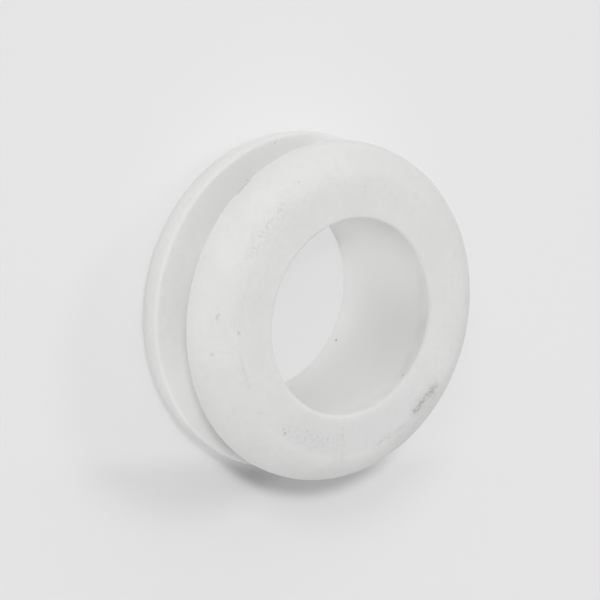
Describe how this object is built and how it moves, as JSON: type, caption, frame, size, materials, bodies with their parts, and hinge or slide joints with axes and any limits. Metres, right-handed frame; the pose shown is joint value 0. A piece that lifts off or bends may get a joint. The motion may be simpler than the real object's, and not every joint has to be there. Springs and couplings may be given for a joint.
{
  "type": "rubber grommet",
  "caption": "Soft white panel grommet: a round ring with rounded flanges, a groove that grips a sheet's hole, and a plain bore.",
  "frame": {"origin": "centre of the lower flange's flat face, on the bore's axis", "axes": "+Z along the bore's axis, up from the face that the ring stands on to the other flange; X and Y are alike"},
  "size_m": [0.022, 0.022, 0.0091],
  "materials": {
    "rubber": "matt, slightly soft sheen"
  },
  "bodies": {
    "root": {"grommet": "rubber"}
  },
  "joints": []
}
